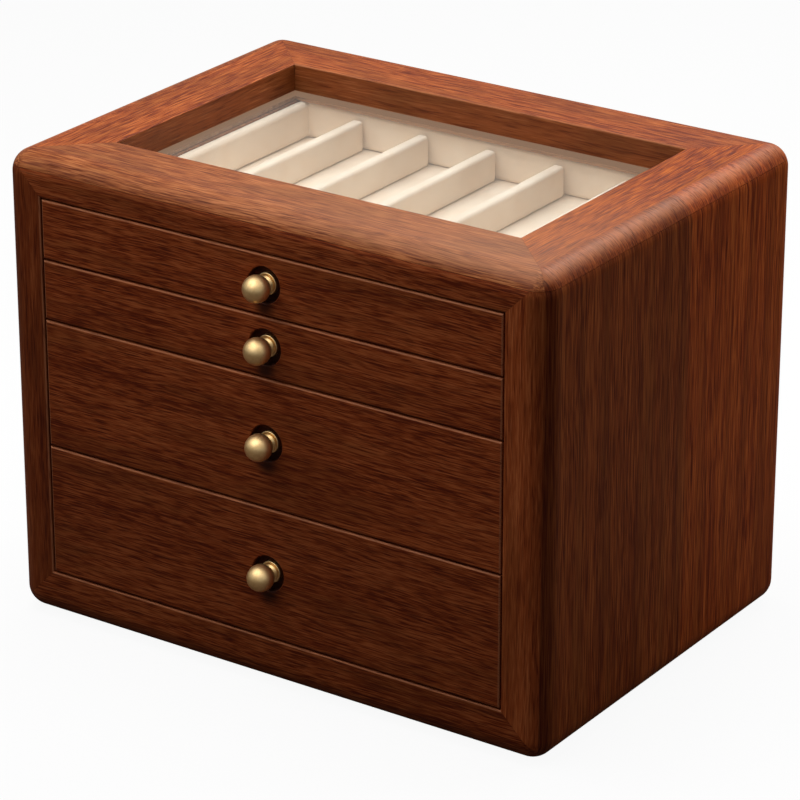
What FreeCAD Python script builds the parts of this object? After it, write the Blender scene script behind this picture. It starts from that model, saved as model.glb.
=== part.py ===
import FreeCAD
import Part
import os

# A wooden jewelry box: a glazed lid over a velvet tray, and four drawers with brass knobs.
# Millimetres. The origin is the middle of the underside, +Z is up and the drawers face -Y.

# The closed box
width = 300.0
depth = 218.0
height = 236.0
edge_radius = 11.0
wall = 12.0
bottom_thickness = 6.0

# The felt sheet that the box stands on
felt_thickness = 1.0
felt_inset = 14.0

# The lid: a mitred frame, a second frame below it that drops into the case, and the glass
lid_edge = 7.0
lid_member = 38.0
lid_seam = 0.25
liner_drop = 11.5
liner_clearance = 0.6
window_ease = 0.8
glass_depth = 13.7
glass_thickness = 3.0
glass_bite = 4.0
glass_clearance = 0.2

# The face frame round the drawers
stile_width = 21.5
top_rail_height = 19.4
bottom_rail_height = 24.4
frame_ease = 0.6

# The drawers: two shallow ones, a deep one, and below them one that takes the rest
shallow_pitch = 30.1
third_pitch = 64.6
drawer_gap = 0.9
drawer_ease = 1.0
front_thickness = 11.5
drawer_wall = 5.0
drawer_base = 2.0
drawer_side_clearance = 1.0
drawer_lift = 0.3
drawer_headroom = 2.5
drawer_back_clearance = 1.0
lining_thickness = 1.0
lining_drop = 0.6

# The shelves that carry the drawers and the panels that guide their sides
shelf_thickness = 3.0
shelf_housing = 5.0

# The velvet tray under the glass and the deck that it hangs in
deck_thickness = 4.0
deck_gap = 0.5
cleat_depth = 8.0
cleat_height = 8.0
tray_wall = 6.0
tray_side_reveal = 7.0
tray_end_reveal = -2.0
tray_depth = 18.7
tray_base = 1.2
tray_round = 2.5
tray_headroom = 0.8
divider_thickness = 6.0
divider_drop = 3.0
divider_count = 5
divider_pitch = 38.9
first_divider_x = -73.9
divider_clearance = 1.5
divider_round = 1.6

# The turned brass knobs, each in a round recess of its drawer front
recess_radius = 8.8
recess_depth = 4.5
recess_bevel = 0.5
ball_radius = 6.5
ball_projection = 5.7
neck_radius = 3.1
collar_radius = 5.3
collar_depth = 2.0
collar_bevel = 0.8
waist_radius = 2.5
knob_screw_radius = 1.6
knob_thread_clearance = 0.05
knob_thread_depth = 7.0
knob_head_radius = 3.6
knob_head_height = 1.8
knob_head_clearance = 0.2

# The two butt hinges at the back
hinge_x = 88.0
hinge_length = 30.0
hinge_leaf = 0.9
hinge_leaf_inset = 9.5
hinge_leaf_margin = 1.5
knuckle_radius = 1.9
knuckle_gap = 0.15
knuckle_clearance = 0.05
pin_radius = 0.9
pin_clearance = 0.05
hinge_screw_spacing = 18.0
hinge_screw_inset = 5.5
hinge_screw_radius = 0.8
hinge_screw_head = 1.5
hinge_screw_length = 4.2

# How near two places are when they count as the same
same_place = 0.01

# Heights and half sizes worked out from the sizes above
half_width = width / 2
half_depth = depth / 2
inner_x = half_width - wall
inner_y = half_depth - wall
seam_z = height - lid_edge
case_top = seam_z - lid_seam
liner_bottom = seam_z - liner_drop
window_x = half_width - lid_member
window_y = half_depth - lid_member
opening_x = half_width - stile_width
opening_top = height - top_rail_height
opening_bottom = bottom_rail_height
deck_top = liner_bottom - deck_gap
deck_bottom = deck_top - deck_thickness
tray_x = window_x - tray_side_reveal
tray_y = window_y - tray_end_reveal
tray_floor = deck_top - tray_depth
tray_bottom = tray_floor - tray_base
front_y = -half_depth
front_back = front_y + front_thickness
hinge_z = (seam_z + case_top) / 2
knuckle_drop = hinge_leaf + lid_seam / 2
hinge_y = half_depth + ((knuckle_radius + knuckle_clearance) ** 2 - knuckle_drop**2) ** 0.5
reach = 2 * (width + depth + height)


def block(x0, x1, y0, y1, z0, z1):
    return Part.makeBox(x1 - x0, y1 - y0, z1 - z0, FreeCAD.Vector(x0, y0, z0))


# A straight shaft through everything, upright or from front to back
def upright_shaft(corners):
    points = [FreeCAD.Vector(x, y, -reach) for x, y in corners]
    face = Part.Face(Part.makePolygon(points + points[:1]))
    return face.extrude(FreeCAD.Vector(0, 0, 2 * reach))


def level_shaft(corners):
    points = [FreeCAD.Vector(x, -reach, z) for x, z in corners]
    face = Part.Face(Part.makePolygon(points + points[:1]))
    return face.extrude(FreeCAD.Vector(0, 2 * reach, 0))


def upright_ring(outer, inner, z0, z1):
    ring = block(-outer[0], outer[0], -outer[1], outer[1], z0, z1)
    return ring.cut(block(-inner[0], inner[0], -inner[1], inner[1], z0, z1))


def rod(radius, start, direction, length):
    return Part.makeCylinder(radius, length, FreeCAD.Vector(*start), FreeCAD.Vector(*direction))


def flip_x(shape):
    return shape.mirror(FreeCAD.Vector(0, 0, 0), FreeCAD.Vector(1, 0, 0))


def flip_y(shape):
    return shape.mirror(FreeCAD.Vector(0, 0, 0), FreeCAD.Vector(0, 1, 0))


def eased(shape, radius, chosen):
    return shape.makeFillet(radius, [edge for edge in shape.Edges if chosen(edge.BoundBox)])


def bevelled(shape, size, chosen):
    return shape.makeChamfer(size, [edge for edge in shape.Edges if chosen(edge.BoundBox)])


def save(node, *solids):
    whole = solids[0] if len(solids) == 1 else Part.makeCompound(list(solids))
    whole.exportStep("parts/" + node + ".step")


# The right and the back quarter of a frame, split along the mitres out of its inner corners
def side_quarter(inner_half_x, inner_half_y):
    span = reach - inner_half_x
    corners = [
        (inner_half_x, -inner_half_y),
        (inner_half_x + span, -inner_half_y - span),
        (inner_half_x + span, inner_half_y + span),
        (inner_half_x, inner_half_y),
    ]
    return upright_shaft(corners)


def end_quarter(inner_half_x, inner_half_y):
    span = reach - inner_half_y
    corners = [
        (-inner_half_x, inner_half_y),
        (inner_half_x, inner_half_y),
        (inner_half_x + span, inner_half_y + span),
        (-inner_half_x - span, inner_half_y + span),
    ]
    return upright_shaft(corners)


# The outer form of the closed box, with every edge rounded
def closed_form():
    form = block(-half_width, half_width, -half_depth, half_depth, felt_thickness, height)
    return form.makeFillet(edge_radius, form.Edges)


# One hinge screw, driven along the given direction from a flat surface
def hinge_screw(x, y, z, up):
    head = Part.makeCone(
        hinge_screw_head,
        hinge_screw_radius,
        hinge_screw_head - hinge_screw_radius,
        FreeCAD.Vector(x, y, z),
        FreeCAD.Vector(0, 0, up),
    )
    shank = rod(hinge_screw_radius, (x, y, z), (0, 0, up), hinge_screw_length)
    return head.fuse(shank).removeSplitter()


def hinge_screws(z, up):
    y = half_depth - hinge_screw_inset
    offsets = [-hinge_screw_spacing / 2, hinge_screw_spacing / 2]
    return [hinge_screw(side * hinge_x + dx, y, z, up) for side in (-1, 1) for dx in offsets]


# The cuts in the wood for one pair of leaves and their screws, above or below the seam
def hinge_cuts(z, up):
    cuts = []
    for side in (-1, 1):
        x0 = side * hinge_x - hinge_length / 2
        y0 = half_depth - hinge_leaf_inset
        low = min(z, z + up * hinge_leaf)
        cuts.append(block(x0, x0 + hinge_length, y0, hinge_y, low, low + hinge_leaf))
    return cuts + hinge_screws(z, up)


def without(shape, cuts):
    for cut in cuts:
        shape = shape.cut(cut)
    return shape


# One leaf with its knuckles, given the X spans of the knuckles that belong to it
def hinge_leaf_solid(side, z, up, spans):
    x0 = side * hinge_x - hinge_length / 2
    y0 = half_depth - hinge_leaf_inset
    low = min(z, z + up * hinge_leaf)
    leaf = block(x0, x0 + hinge_length, y0, half_depth - hinge_leaf_margin, low, low + hinge_leaf)
    for start, end in spans:
        strap = block(x0 + start, x0 + end, y0, hinge_y, low, low + hinge_leaf)
        barrel = rod(knuckle_radius, (x0 + start, hinge_y, hinge_z), (1, 0, 0), end - start)
        leaf = leaf.fuse(strap).fuse(barrel)
    bore = pin_radius if up < 0 else pin_radius + pin_clearance
    hole = rod(bore, (-reach, hinge_y, hinge_z), (1, 0, 0), 2 * reach)
    return without(leaf.removeSplitter(), [hole] + hinge_screws(z, up))


def make_hinges():
    third = hinge_length / 3
    outer = [(0, third - knuckle_gap), (2 * third + knuckle_gap, hinge_length)]
    middle = [(third, 2 * third)]
    save("hinge_lower_leaves", *[hinge_leaf_solid(side, case_top, -1, outer) for side in (-1, 1)])
    save("hinge_upper_leaves", *[hinge_leaf_solid(side, seam_z, 1, middle) for side in (-1, 1)])
    starts = [side * hinge_x - hinge_length / 2 for side in (-1, 1)]
    save("hinge_pins", *[rod(pin_radius, (x, hinge_y, hinge_z), (1, 0, 0), hinge_length) for x in starts])
    save("hinge_lower_screws", *hinge_screws(case_top, -1))
    save("hinge_upper_screws", *hinge_screws(seam_z, 1))


# The walls of the case: sides and back, mitred at the corners
def make_walls(form):
    side = form.common(side_quarter(inner_x, inner_y))
    save("right_side_panel", side)
    save("left_side_panel", flip_x(side))
    back = form.common(end_quarter(inner_x, inner_y))
    save("back_panel", without(back, hinge_cuts(case_top, -1)))
    floor = felt_thickness + bottom_thickness
    save("bottom_panel", block(-inner_x, inner_x, -inner_y, inner_y, felt_thickness, floor))
    felt_x = half_width - felt_inset
    felt_y = half_depth - felt_inset
    save("base_felt", block(-felt_x, felt_x, -felt_y, felt_y, 0, felt_thickness))


# The face frame, mitred at its four corners, with the inner edge eased
def make_face_frame(form):
    plate = form.common(flip_y(end_quarter(inner_x, inner_y)))
    plate = plate.cut(block(-opening_x, opening_x, -reach, reach, opening_bottom, opening_top))
    plate = eased(plate, frame_ease, on_face_frame_edge)
    stile = [
        (opening_x, opening_bottom),
        (opening_x + reach, opening_bottom - reach),
        (opening_x + reach, opening_top + reach),
        (opening_x, opening_top),
    ]
    top_rail = [
        (-opening_x, opening_top),
        (opening_x, opening_top),
        (opening_x + reach, opening_top + reach),
        (-opening_x - reach, opening_top + reach),
    ]
    bottom_rail = [
        (-opening_x, opening_bottom),
        (opening_x, opening_bottom),
        (opening_x + reach, opening_bottom - reach),
        (-opening_x - reach, opening_bottom - reach),
    ]
    right = plate.common(level_shaft(stile))
    save("right_stile", right)
    save("left_stile", flip_x(right))
    save("top_rail", plate.common(level_shaft(top_rail)))
    save("bottom_rail", plate.common(level_shaft(bottom_rail)))


def on_face_frame_edge(bounds):
    flat = bounds.YMax < front_y + same_place
    inside = max(-bounds.XMin, bounds.XMax) < opening_x + same_place
    above = bounds.ZMin > opening_bottom - same_place
    below = bounds.ZMax < opening_top + same_place
    return flat and inside and above and below


# The middles of the gaps above, between and below the drawers, from the top down
def drawer_lines():
    pitches = [shallow_pitch, shallow_pitch, third_pitch]
    top_line = opening_top - drawer_gap / 2
    lines = [top_line - sum(pitches[:count]) for count in range(len(pitches) + 1)]
    return lines + [opening_bottom + drawer_gap / 2]


# The inner carcass: guide panels, shelves, and the deck with its cleats
def make_carcass():
    floor = felt_thickness + bottom_thickness
    shelves = []
    for line in drawer_lines()[1:]:
        half = opening_x + shelf_housing
        low = line - shelf_thickness / 2
        shelves.append(block(-half, half, -inner_y, inner_y, low, low + shelf_thickness))
    guide = without(block(opening_x, inner_x, -inner_y, inner_y, floor, deck_bottom), shelves)
    save("right_guide_panel", guide)
    save("left_guide_panel", flip_x(guide))
    for number, shelf in enumerate(shelves, 1):
        save("drawer_shelf_" + str(number), shelf)
    cleat_low = deck_bottom - cleat_height
    cleat = block(-opening_x, opening_x, inner_y - cleat_depth, inner_y, cleat_low, deck_bottom)
    save("deck_cleats", cleat, flip_y(cleat))
    tray_half_x = tray_x + tray_wall
    tray_half_y = tray_y + tray_wall
    side = block(tray_half_x, inner_x, -tray_half_y, tray_half_y, deck_bottom, deck_top)
    cross = block(-inner_x, inner_x, tray_half_y, inner_y, deck_bottom, deck_top)
    save("tray_deck", side, flip_x(side), cross, flip_y(cross))


# The velvet tray: a wrapped base, four wrapped walls and loose dividers
def make_tray():
    half_x = tray_x + tray_wall
    half_y = tray_y + tray_wall
    save("tray_base", block(-half_x, half_x, -half_y, half_y, tray_bottom, tray_floor))
    side = round_topped(block(tray_x, half_x, -half_y, half_y, tray_floor, deck_top), tray_round)
    end = round_topped(block(-tray_x, tray_x, tray_y, half_y, tray_floor, deck_top), tray_round)
    save("tray_walls", side, flip_x(side), end, flip_y(end))

    divider_y = tray_y - divider_clearance
    divider_top = deck_top - divider_drop
    dividers = []
    for number in range(divider_count):
        x0 = first_divider_x + number * divider_pitch - divider_thickness / 2
        divider = block(x0, x0 + divider_thickness, -divider_y, divider_y, tray_floor, divider_top)
        dividers.append(round_topped(divider, divider_round))
    save("tray_dividers", *dividers)


# A wrapped board with its two long upper edges rounded
def round_topped(board, radius):
    bounds = board.BoundBox
    length = max(bounds.XLength, bounds.YLength)

    def chosen(edge):
        return edge.ZMin > bounds.ZMax - same_place and edge.DiagonalLength > length - same_place

    return eased(board, radius, chosen)


# The lid frame, its drop-in liner, the glass and the beads that hold it
def make_lid(form):
    window = (window_x, window_y)
    slab = form.cut(block(-window_x, window_x, -window_y, window_y, seam_z, height))
    slab = eased(slab, window_ease, on_window_edge)
    side = slab.common(side_quarter(*window))
    save("lid_right_member", side)
    save("lid_left_member", flip_x(side))
    back = slab.common(end_quarter(*window))
    save("lid_front_member", flip_y(back))
    save("lid_back_member", without(back, hinge_cuts(seam_z, 1)))

    glass_top = height - glass_depth
    glass_bottom = glass_top - glass_thickness
    outer = (inner_x - liner_clearance, inner_y - liner_clearance)
    rebate = (window_x + glass_bite, window_y + glass_bite)
    liner = upright_ring(outer, window, liner_bottom, seam_z)
    liner = liner.cut(upright_ring(rebate, window, liner_bottom, glass_top))
    side = liner.common(side_quarter(*window))
    end = liner.common(end_quarter(*window))
    save("lid_side_liners", side, flip_x(side))
    save("lid_end_liners", end, flip_y(end))

    bead = upright_ring(rebate, window, liner_bottom, glass_bottom)
    side = bead.common(side_quarter(*window))
    end = bead.common(end_quarter(*window))
    save("glass_beads", side, flip_x(side), end, flip_y(end))
    pane_x = rebate[0] - glass_clearance
    pane_y = rebate[1] - glass_clearance
    save("lid_glass", block(-pane_x, pane_x, -pane_y, pane_y, glass_bottom, glass_top))


def on_window_edge(bounds):
    flat = bounds.ZMin > height - same_place
    inside_x = max(-bounds.XMin, bounds.XMax) < window_x + same_place
    inside_y = max(-bounds.YMin, bounds.YMax) < window_y + same_place
    return flat and inside_x and inside_y


# A turned knob: a ball on a waisted neck that flares to a collar, tapped for its screw
def knob_solid(z):
    ball_y = front_y - ball_projection
    collar_y = front_y + collar_depth
    seat_y = front_y + recess_depth
    joint_y = ball_y + (ball_radius**2 - neck_radius**2) ** 0.5
    waist_y = (joint_y + collar_y) / 2
    points = [
        FreeCAD.Vector(0, ball_y - ball_radius, z),
        FreeCAD.Vector(ball_radius, ball_y, z),
        FreeCAD.Vector(neck_radius, joint_y, z),
        FreeCAD.Vector(waist_radius, waist_y, z),
        FreeCAD.Vector(neck_radius, collar_y, z),
        FreeCAD.Vector(collar_radius - collar_bevel, collar_y, z),
        FreeCAD.Vector(collar_radius, collar_y + collar_bevel, z),
        FreeCAD.Vector(collar_radius, seat_y, z),
        FreeCAD.Vector(0, seat_y, z),
    ]
    ball = Part.Arc(points[0], points[1], points[2]).toShape()
    stem = Part.makePolygon(points[2:] + points[:1])
    profile = Part.Face(Part.Wire([ball] + stem.Edges))
    turned = profile.revolve(FreeCAD.Vector(0, 0, z), FreeCAD.Vector(0, 1, 0), 360)
    thread_radius = knob_screw_radius + knob_thread_clearance
    thread_length = knob_thread_depth + knob_thread_clearance
    return turned.cut(rod(thread_radius, (0, seat_y - thread_length, z), (0, 1, 0), thread_length))


def knob_screw_solid(z):
    tip_y = front_y + recess_depth - knob_thread_depth
    head_y = front_back - knob_head_height
    shank = rod(knob_screw_radius, (0, tip_y, z), (0, 1, 0), front_back - tip_y)
    head = rod(knob_head_radius, (0, head_y, z), (0, 1, 0), knob_head_height)
    return shank.fuse(head).removeSplitter()


# The front of a drawer with its knob recess, screw hole and the sinking for the screw's head
def front_solid(x_half, low, high):
    z = (low + high) / 2
    front = block(-x_half, x_half, front_y, front_back, low, high)
    front = eased(front, drawer_ease, lambda b: b.YMax < front_y + same_place)
    front = front.cut(rod(recess_radius, (0, front_y, z), (0, 1, 0), recess_depth))
    front = bevelled(front, recess_bevel, on_recess_rim(z))
    hole = rod(knob_screw_radius + knob_thread_clearance, (0, front_y, z), (0, 1, 0), front_thickness)
    sink_y = front_back - knob_head_height
    sink = rod(knob_head_radius + knob_head_clearance, (0, sink_y, z), (0, 1, 0), front_thickness)
    return front.cut(hole).cut(sink)


def on_recess_rim(z):
    def chosen(bounds):
        flat = bounds.YMax < front_y + same_place
        narrow = max(-bounds.XMin, bounds.XMax) < recess_radius + same_place
        return flat and narrow and abs(bounds.Center.z - z) < same_place
    return chosen


# One drawer: front, knob and screw, base, three walls and the velvet lining
def make_drawer(number, line_above, line_below, box_top):
    name = "drawer_" + str(number) + "_"
    low = line_below + drawer_gap / 2
    high = line_above - drawer_gap / 2
    z = (low + high) / 2
    save(name + "front", front_solid(opening_x - drawer_gap, low, high))
    save(name + "knob", knob_solid(z))
    save(name + "knob_screw", knob_screw_solid(z))

    box_x = opening_x - drawer_side_clearance
    box_low = line_below + shelf_thickness / 2 + drawer_lift
    floor = box_low + drawer_base
    back_y = inner_y - drawer_back_clearance
    inside_x = box_x - drawer_wall
    inside_y = back_y - drawer_wall
    save(name + "base", block(-box_x, box_x, front_back, back_y, box_low, floor))
    side = block(inside_x, box_x, front_back, back_y, floor, box_top)
    back = block(-inside_x, inside_x, inside_y, back_y, floor, box_top)
    save(name + "walls", side, flip_x(side), back)

    lining_top = box_top - lining_drop
    lining = block(-inside_x, inside_x, front_back, inside_y, floor, lining_top)
    hollow = block(
        -inside_x + lining_thickness,
        inside_x - lining_thickness,
        front_back + lining_thickness,
        inside_y - lining_thickness,
        floor + lining_thickness,
        box_top,
    )
    save(name + "lining", lining.cut(hollow))


# The top drawer's box stays below the tray, and the others below the shelf above them
def make_drawers():
    lines = drawer_lines()
    shelf_ceilings = [line - shelf_thickness / 2 - drawer_headroom for line in lines[1:-1]]
    ceilings = [tray_bottom - tray_headroom] + shelf_ceilings
    for number, ceiling in enumerate(ceilings, 1):
        make_drawer(number, lines[number - 1], lines[number], ceiling)


os.makedirs("parts", exist_ok=True)
closed_box = closed_form()
case_form = closed_box.common(block(-reach, reach, -reach, reach, felt_thickness, case_top))
lid_form = closed_box.common(block(-reach, reach, -reach, reach, seam_z, height))
make_walls(case_form)
make_face_frame(case_form)
make_carcass()
make_tray()
make_lid(lid_form)
make_hinges()
make_drawers()
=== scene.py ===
import math

import bmesh
import bpy
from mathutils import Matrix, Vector


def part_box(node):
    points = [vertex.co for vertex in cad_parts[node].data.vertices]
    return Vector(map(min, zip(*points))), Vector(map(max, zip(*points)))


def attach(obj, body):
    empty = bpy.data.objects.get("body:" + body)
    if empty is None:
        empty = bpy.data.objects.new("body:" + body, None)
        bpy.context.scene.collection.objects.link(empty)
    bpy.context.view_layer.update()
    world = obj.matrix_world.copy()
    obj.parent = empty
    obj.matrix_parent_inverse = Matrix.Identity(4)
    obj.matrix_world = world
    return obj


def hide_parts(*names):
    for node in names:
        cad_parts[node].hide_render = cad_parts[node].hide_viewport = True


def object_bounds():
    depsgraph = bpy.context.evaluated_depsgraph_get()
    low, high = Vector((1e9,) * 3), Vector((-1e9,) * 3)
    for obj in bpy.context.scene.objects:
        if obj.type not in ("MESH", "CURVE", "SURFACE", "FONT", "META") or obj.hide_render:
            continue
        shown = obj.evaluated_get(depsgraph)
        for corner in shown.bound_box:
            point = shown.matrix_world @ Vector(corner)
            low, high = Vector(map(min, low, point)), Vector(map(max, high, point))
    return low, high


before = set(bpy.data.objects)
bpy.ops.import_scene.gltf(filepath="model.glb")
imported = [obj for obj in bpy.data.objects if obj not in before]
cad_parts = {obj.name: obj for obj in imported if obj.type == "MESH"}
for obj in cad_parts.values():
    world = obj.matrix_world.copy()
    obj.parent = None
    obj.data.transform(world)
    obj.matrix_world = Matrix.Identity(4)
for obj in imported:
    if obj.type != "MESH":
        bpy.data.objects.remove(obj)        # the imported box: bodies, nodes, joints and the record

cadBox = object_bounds()
mm = 0.001
drawers = range(1, 5)
print("stage: the box is loaded,", len(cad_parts), "nodes")


# A socket of a node tree. Sums on it add Math nodes, and make() adds any other node.
class Wire:
    def __init__(self, tree, socket):
        self.tree = tree
        self.socket = socket

    def make(self, kind, settings=None, inputs=None, out=0):
        node = self.tree.nodes.new(kind)
        for key, value in (settings or {}).items():
            setattr(node, key, value)
        for key, value in (inputs or {}).items():
            plug = findSocket(node.inputs, key)
            if isinstance(value, Wire):
                self.tree.links.new(value.socket, plug)
            else:
                plug.default_value = value
        return Wire(self.tree, findSocket(node.outputs, out))

    def sum(self, operation, a, b=0.0):
        return self.make("ShaderNodeMath", {"operation": operation}, {0: a, 1: b})

    def vector(self, operation, other=(0.0, 0.0, 0.0)):
        return self.make("ShaderNodeVectorMath", {"operation": operation}, {0: self, 1: other})

    def scaled(self, factor):                # a vector times a number
        return self.make("ShaderNodeVectorMath", {"operation": "SCALE"}, {0: self, "Scale": factor})

    def axes(self):                          # a vector's X, Y and Z
        outputs = self.make("ShaderNodeSeparateXYZ", {}, {0: self}).socket.node.outputs
        return {axis: Wire(self.tree, outputs[axis]) for axis in "XYZ"}

    def inMm(self):
        return self * 1000.0

    def __add__(self, other):
        return self.sum("ADD", self, other)

    __radd__ = __add__

    def __mul__(self, other):
        return self.sum("MULTIPLY", self, other)

    __rmul__ = __mul__

    def __sub__(self, other):
        return self.sum("SUBTRACT", self, other)

    def __rsub__(self, other):
        return self.sum("SUBTRACT", other, self)

    def __truediv__(self, other):
        return self.sum("DIVIDE", self, other)

    def __pow__(self, other):
        return self.sum("POWER", self, other)

    def __abs__(self):
        return self.sum("ABSOLUTE", self)

    def most(self, other):
        return self.sum("MAXIMUM", self, other)

    def step(self, low, high):               # 0 below low, 1 above high, smooth between
        return self.make("ShaderNodeMapRange", {"interpolation_type": "SMOOTHSTEP"},
                         {"Value": self, "From Min": low, "From Max": high})

    def mix(self, a, b):                     # self is the share of colour b
        return self.make("ShaderNodeMix", {"data_type": "RGBA"},
                         {"Factor_Float": self, "A_Color": a, "B_Color": b}, "Result_Color")


def findSocket(sockets, key):
    if isinstance(key, int):
        return sockets[key]
    for socket in sockets:
        if key in (socket.identifier, socket.name):
            return socket
    raise KeyError(key)


def triple(wire, x=0.0, y=0.0, z=0.0):
    return wire.make("ShaderNodeCombineXYZ", {}, {0: x, 1: y, 2: z})


def distance(a, b):
    return (a * a + b * b) ** 0.5


def rgb(red, green, blue):
    return (red, green, blue, 1.0)


# A new material: its Principled shader and the piece's own coordinates
def startMaterial(name):
    material = bpy.data.materials.new(name)
    material.use_nodes = True
    tree = material.node_tree
    shader = tree.nodes["Principled BSDF"]
    return material, shader, ownPlace(tree)


def ownPlace(tree):
    return Wire(tree, tree.nodes.new("ShaderNodeTexCoord").outputs["Object"])


def feed(shader, socketName, wire):
    wire.tree.links.new(wire.socket, shader.inputs[socketName])


# Coordinates stretched so that one unit is `across` millimetres, and `along` on the grain axis
def stretched(place, grain, across, along, shift):
    sizes = [1 / (across * mm)] * 3
    sizes["XYZ".index(grain)] = 1 / (along * mm)
    return place.make("ShaderNodeMapping", {}, {"Vector": place, "Location": shift, "Scale": sizes})


def cloud(place, detail=2.0, rough=0.5):
    return place.make("ShaderNodeTexNoise", {},
                      {"Vector": place, "Scale": 1.0, "Detail": detail, "Roughness": rough})


def dress(material, *names):
    for name in names:
        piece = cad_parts[name]
        piece.data.materials.clear()
        piece.data.materials.append(material)


def adopt(piece, body, node):      # a piece that stands for a CAD node
    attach(piece, body)
    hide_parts(node)


def middleZ(node):
    low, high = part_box(node)
    return (low.z + high.z) / 2


def addObject(name, data):
    added = bpy.data.objects.new(name, data)
    bpy.context.scene.collection.objects.link(added)
    return added


def addMesh(name, form, material):           # a bmesh becomes a piece
    bmesh.ops.recalc_face_normals(form, faces=form.faces)
    for face in form.faces:
        face.smooth = True
    mesh = bpy.data.meshes.new(name)
    form.to_mesh(mesh)
    form.free()
    mesh.materials.append(material)
    return addObject(name, mesh)


# A piece grown by Geometry Nodes: `sizes` become the tree's named inputs, and `rule` gets them as
# wires and gives back the geometry. The result is a plain mesh with no modifier left on it.
def growPiece(name, sizes, rule, material):
    tree = bpy.data.node_groups.new(name, "GeometryNodeTree")
    tree.interface.new_socket(name="Geometry", in_out="OUTPUT", socket_type="NodeSocketGeometry")
    kinds = {int: "NodeSocketInt", float: "NodeSocketFloat", tuple: "NodeSocketVector"}
    for key, value in sizes.items():
        tree.interface.new_socket(name=key, in_out="INPUT", socket_type=kinds[type(value)])
    entry = tree.nodes.new("NodeGroupInput")
    wires = {key: Wire(tree, entry.outputs[key]) for key in sizes}
    grown = rule(wires)
    grown = grown.make("GeometryNodeRealizeInstances", {}, {0: grown})
    grown = grown.make("GeometryNodeSetMaterial", {}, {"Geometry": grown, "Material": material})
    leave = tree.nodes.new("NodeGroupOutput")
    tree.links.new(grown.socket, leave.inputs[0])

    piece = addObject(name, bpy.data.meshes.new(name + "Start"))
    modifier = piece.modifiers.new("grow", "NODES")
    modifier.node_group = tree
    for item in tree.interface.items_tree:
        if item.in_out == "INPUT":
            modifier[item.identifier] = sizes[item.name]
    bpy.context.view_layer.update()
    evaluated = piece.evaluated_get(bpy.context.evaluated_depsgraph_get())
    mesh = bpy.data.meshes.new_from_object(evaluated)
    piece.modifiers.remove(modifier)
    piece.data = mesh
    mesh.name = name
    return piece


# Places on the case and the lid, in millimetres
boxHalf = cadBox[1].x / mm
boxTop = cadBox[1].z / mm
faceY = -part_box("top_rail")[0].y / mm        # of the front, taken as positive
windowX = -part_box("lid_left_member")[1].x / mm
windowY = -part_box("lid_front_member")[1].y / mm
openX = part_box("right_stile")[0].x / mm
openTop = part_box("top_rail")[0].z / mm
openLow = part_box("bottom_rail")[1].z / mm
edgeRadius = 11.0                            # of the box's outer edges
recessRadius = 8.8                           # of the recess round each knob, where shade is painted

# Red-brown veneer under a satin lacquer. From `band` to `bend`, a pair is the width and length of one
# layer of the figure, in millimetres.
woodLook = {
    "band": (15.0, 170.0),
    "streak": (2.2, 46.0),
    "fibre": (0.68, 18.0),
    "thread": (0.42, 9.0),
    "vessel": (0.64, 12.0),
    "patch": (15.0, 120.0),
    "bend": (30.0, 90.0),
    "sway": 3.4,                  # how far the bends carry the grain sideways
    "streakShare": 1.2,
    "fibreShare": 2.3,
    "threadShare": 2.0,
    "fineness": 1.45,             # how strongly the fibres and threads show
    "bodyTones": (-0.15, 0.50),   # where the deep colour turns into the body's
    "warmTones": (0.48, 1.20),    # and the body's into the warm one
    "patchTones": (0.46, 0.64),
    "mottle": 0.6,                # the share of olive in a patch
    "vesselTones": (0.53, 0.66),
    "dashShare": (0.45, 0.55),    # how dark the vessels are everywhere, and more in dark streaks
    "dashTones": (0.62, 0.42),
    "pores": 0.52,
    "poreDepth": 0.05,
    "relief": 0.8,
    "fibreRelief": 0.35,
    "rough": 0.46,
    "dulling": 0.10,              # how much duller the streaks and vessels are
    "specular": 0.16,
    "deep": rgb(0.13, 0.017, 0.003),
    "body": rgb(0.30, 0.060, 0.012),
    "warm": rgb(0.46, 0.123, 0.034),
    "olive": rgb(0.27, 0.072, 0.015),
    "pore": rgb(0.05, 0.006, 0.001),
    # the colour of the painted highlight along edges and crests
    "paintedHighlight": rgb(0.62, 0.24, 0.11),
    # the colour of the painted shade in the knobs' recesses and of their painted shadows
    "shadeAndAgeing": rgb(0.03, 0.006, 0.0015),
    # the colour of the painted sheen near the front right corner
    "paintedSheen": rgb(0.48, 0.27, 0.17),
}
topLook = dict(woodLook, streak=(2.0, 48.0), fibre=(0.68, 17.0), thread=(0.44, 10.0),
               vessel=(0.66, 15.0), patch=(20.0, 60.0), pores=0.40)
linerLook = dict(topLook, fineness=0.6, pores=0.25)
sideLook = dict(woodLook, band=(9.0, 420.0), streak=(1.7, 200.0), fibre=(0.62, 48.0),
                thread=(0.44, 20.0), vessel=(0.70, 16.0), patch=(9.0, 300.0), fineness=1.6)
lapLook = dict(sideLook, fibre=(0.60, 8.0), thread=(0.42, 4.0), vessel=(0.55, 6.0), fineness=1.2,
               pores=0.42)
backLook = dict(sideLook, fineness=1.1, pores=0.35)
stileLook = dict(woodLook, fineness=0.8, pores=0.36)
innerLook = dict(woodLook, rough=0.5, deep=rgb(0.17, 0.05, 0.014), body=rgb(0.33, 0.12, 0.04),
                 warm=rgb(0.45, 0.19, 0.075), olive=rgb(0.29, 0.12, 0.04), pore=rgb(0.11, 0.03, 0.01))


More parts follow.
